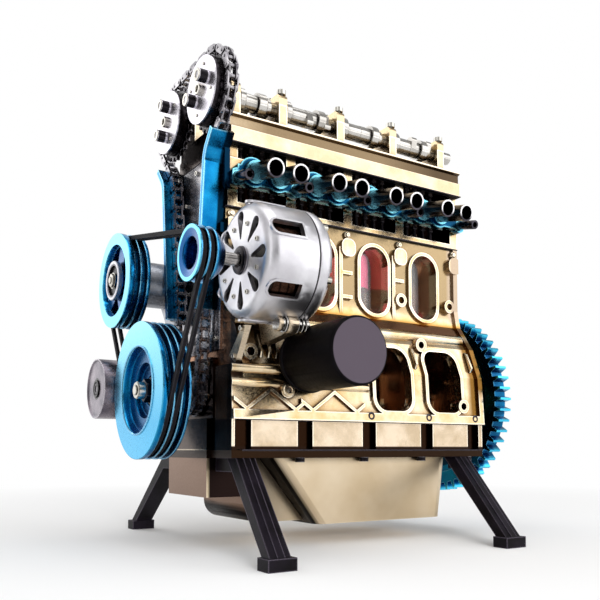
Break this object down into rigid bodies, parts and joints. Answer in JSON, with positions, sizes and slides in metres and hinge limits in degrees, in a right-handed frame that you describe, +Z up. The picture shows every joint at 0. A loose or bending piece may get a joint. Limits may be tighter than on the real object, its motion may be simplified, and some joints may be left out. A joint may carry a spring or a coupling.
{
  "type": "four stroke engine model",
  "caption": "Desk model of a twin cam inline engine with open block windows, timing chain, belt drive, alternator and splayed legs.",
  "frame": {"origin": "on the ground under the middle of the model", "axes": "+Z up, +X along the crankshaft towards the flywheel gear, -Y towards the alternator"},
  "size_m": [0.146, 0.1326, 0.1739],
  "materials": {
    "gold_casting": "glossy champagne gold plate on cast metal",
    "clear_liner": "clear acrylic tube",
    "screw_steel": "plated cap screws",
    "blue_anodised": "machined and anodised blue",
    "gunmetal_tube": "dark plated tube with bright rims",
    "chain_steel": "dark oiled steel",
    "belt_rubber": "smooth black rubber",
    "silver_alternator": "bead blasted silver",
    "stator_copper": "dark laminations and windings",
    "bracket_beige": "satin warm silver",
    "filter_black": "satin black",
    "bracket_silver": "machined grey",
    "leg_black": "black anodised bars",
    "motor_can": "drawn steel can",
    "shaft_steel": "ground steel",
    "wheel_silver": "machined light grey",
    "pinion_brass": "cut brass",
    "piston_magenta": "anodised magenta",
    "rod_alloy": "machined alloy",
    "valve_steel": "ground steel",
    "spring_steel": "drawn wire",
    "plug_ceramic": "white glazed insulator"
  },
  "bodies": {
    "engine": {"oil_pan": "gold_casting", "crankcase_rail": "gold_casting", "cylinder_block": "gold_casting", "bearing_caps": "gold_casting", "cylinder_liners": "clear_liner", "cylinder_head": "gold_casting", "spark_plugs": "plug_ceramic", "cam_carrier": "gold_casting", "cam_caps": "gold_casting", "cap_screws": "screw_steel", "pan_screws": "screw_steel", "intake_flange": "blue_anodised", "intake_trumpets": "gunmetal_tube", "exhaust_flange": "blue_anodised", "exhaust_stubs": "gunmetal_tube", "front_plate": "gold_casting", "chain_guide_near": "blue_anodised", "chain_guide_far": "blue_anodised", "timing_chain": "chain_steel", "drive_belts": "belt_rubber", "alternator_front": "silver_alternator", "alternator_rear": "silver_alternator", "alternator_stator": "stator_copper", "alternator_bracket": "bracket_beige", "oil_filter": "filter_black", "pump_housing": "bracket_silver", "idler_arm": "bracket_silver", "stand_legs": "leg_black", "drive_motor": "motor_can", "intake_springs": "spring_steel", "exhaust_springs": "spring_steel"},
    "crank": {"crankshaft": "shaft_steel", "crank_sprocket": "wheel_silver", "crank_pulley": "blue_anodised", "flywheel_gear": "blue_anodised"},
    "intake_cam": {"intake_camshaft": "shaft_steel", "intake_sprocket": "wheel_silver"},
    "exhaust_cam": {"exhaust_camshaft": "shaft_steel", "exhaust_sprocket": "wheel_silver"},
    "alternator_shaft": {"alternator_pulley": "blue_anodised", "alternator_rotor": "shaft_steel"},
    "pump_wheel": {"pump_pulley": "blue_anodised"},
    "idler_wheel": {"idler_pulley": "wheel_silver"},
    "motor_shaft": {"motor_pinion": "pinion_brass"},
    "piston_unit_1": {"piston_1": "piston_magenta"},
    "rod_unit_1": {"conrod_1": "rod_alloy"},
    "piston_unit_2": {"piston_2": "piston_magenta"},
    "rod_unit_2": {"conrod_2": "rod_alloy"},
    "piston_unit_3": {"piston_3": "piston_magenta"},
    "rod_unit_3": {"conrod_3": "rod_alloy"},
    "piston_unit_4": {"piston_4": "piston_magenta"},
    "rod_unit_4": {"conrod_4": "rod_alloy"},
    "intake_valve_unit_1": {"intake_valves_1": "valve_steel"},
    "intake_valve_unit_2": {"intake_valves_2": "valve_steel"},
    "intake_valve_unit_3": {"intake_valves_3": "valve_steel"},
    "intake_valve_unit_4": {"intake_valves_4": "valve_steel"},
    "exhaust_valve_unit_1": {"exhaust_valves_1": "valve_steel"},
    "exhaust_valve_unit_2": {"exhaust_valves_2": "valve_steel"},
    "exhaust_valve_unit_3": {"exhaust_valves_3": "valve_steel"},
    "exhaust_valve_unit_4": {"exhaust_valves_4": "valve_steel"}
  },
  "joints": [
    {"name": "crank_spin", "type": "hinge", "parent": "engine", "child": "crank", "pos_m": [0, 0, 0.054], "axis": [1, 0, 0], "continuous": true},
    {"name": "intake_cam_spin", "type": "hinge", "parent": "engine", "child": "intake_cam", "pos_m": [0, -0.0153, 0.158], "axis": [1, 0, 0], "continuous": true},
    {"name": "exhaust_cam_spin", "type": "hinge", "parent": "engine", "child": "exhaust_cam", "pos_m": [0, 0.0153, 0.158], "axis": [1, 0, 0], "continuous": true},
    {"name": "alternator_spin", "type": "hinge", "parent": "engine", "child": "alternator_shaft", "pos_m": [0, -0.04, 0.093], "axis": [1, 0, 0], "continuous": true},
    {"name": "pump_spin", "type": "hinge", "parent": "engine", "child": "pump_wheel", "pos_m": [0, 0.026, 0.097], "axis": [1, 0, 0], "continuous": true},
    {"name": "idler_spin", "type": "hinge", "parent": "engine", "child": "idler_wheel", "pos_m": [0, 0.036, 0.0568], "axis": [1, 0, 0], "continuous": true},
    {"name": "motor_spin", "type": "hinge", "parent": "engine", "child": "motor_shaft", "pos_m": [0, 0.04077, 0.07336], "axis": [1, 0, 0], "continuous": true},
    {"name": "piston_1_slide", "type": "slide", "parent": "engine", "child": "piston_unit_1", "axis": [0, 0, 1], "range_m": [0, 0.02]},
    {"name": "rod_1_swing", "type": "hinge", "parent": "piston_unit_1", "child": "rod_unit_1", "pos_m": [-0.0325, 0, 0.0855], "axis": [1, 0, 0], "range_deg": [-13.9, 13.9]},
    {"name": "piston_2_slide", "type": "slide", "parent": "engine", "child": "piston_unit_2", "axis": [0, 0, 1], "range_m": [-0.02, 0]},
    {"name": "rod_2_swing", "type": "hinge", "parent": "piston_unit_2", "child": "rod_unit_2", "pos_m": [-0.007, 0, 0.1055], "axis": [1, 0, 0], "range_deg": [-13.9, 13.9]},
    {"name": "piston_3_slide", "type": "slide", "parent": "engine", "child": "piston_unit_3", "axis": [0, 0, 1], "range_m": [-0.02, 0]},
    {"name": "rod_3_swing", "type": "hinge", "parent": "piston_unit_3", "child": "rod_unit_3", "pos_m": [0.0185, 0, 0.1055], "axis": [1, 0, 0], "range_deg": [-13.9, 13.9]},
    {"name": "piston_4_slide", "type": "slide", "parent": "engine", "child": "piston_unit_4", "axis": [0, 0, 1], "range_m": [0, 0.02]},
    {"name": "rod_4_swing", "type": "hinge", "parent": "piston_unit_4", "child": "rod_unit_4", "pos_m": [0.044, 0, 0.0855], "axis": [1, 0, 0], "range_deg": [-13.9, 13.9]},
    {"name": "intake_valves_1_lift", "type": "slide", "parent": "engine", "child": "intake_valve_unit_1", "axis": [0, 0.2588, -0.9659], "range_m": [0, 0.0016], "stiffness_N_per_m": 200, "springref_m": -0.001},
    {"name": "intake_valves_2_lift", "type": "slide", "parent": "engine", "child": "intake_valve_unit_2", "axis": [0, 0.2588, -0.9659], "range_m": [0, 0.0016], "stiffness_N_per_m": 200, "springref_m": -0.001},
    {"name": "intake_valves_3_lift", "type": "slide", "parent": "engine", "child": "intake_valve_unit_3", "axis": [0, 0.2588, -0.9659], "range_m": [0, 0.0016], "stiffness_N_per_m": 200, "springref_m": -0.001},
    {"name": "intake_valves_4_lift", "type": "slide", "parent": "engine", "child": "intake_valve_unit_4", "axis": [0, 0.2588, -0.9659], "range_m": [0, 0.0016], "stiffness_N_per_m": 200, "springref_m": -0.001},
    {"name": "exhaust_valves_1_lift", "type": "slide", "parent": "engine", "child": "exhaust_valve_unit_1", "axis": [0, -0.2588, -0.9659], "range_m": [0, 0.0016], "stiffness_N_per_m": 200, "springref_m": -0.001},
    {"name": "exhaust_valves_2_lift", "type": "slide", "parent": "engine", "child": "exhaust_valve_unit_2", "axis": [0, -0.2588, -0.9659], "range_m": [0, 0.0016], "stiffness_N_per_m": 200, "springref_m": -0.001},
    {"name": "exhaust_valves_3_lift", "type": "slide", "parent": "engine", "child": "exhaust_valve_unit_3", "axis": [0, -0.2588, -0.9659], "range_m": [0, 0.0016], "stiffness_N_per_m": 200, "springref_m": -0.001},
    {"name": "exhaust_valves_4_lift", "type": "slide", "parent": "engine", "child": "exhaust_valve_unit_4", "axis": [0, -0.2588, -0.9659], "range_m": [0, 0.0016], "stiffness_N_per_m": 200, "springref_m": -0.001}
  ],
  "couplings": [
    {"joint": "intake_cam_spin", "follows": "crank_spin", "ratio": 0.5},
    {"joint": "exhaust_cam_spin", "follows": "crank_spin", "ratio": 0.5},
    {"joint": "alternator_spin", "follows": "crank_spin", "ratio": 3.1127},
    {"joint": "pump_spin", "follows": "crank_spin", "ratio": 1.3727},
    {"joint": "idler_spin", "follows": "crank_spin", "ratio": -1.768},
    {"joint": "motor_spin", "follows": "crank_spin", "ratio": -4.5}
  ]
}
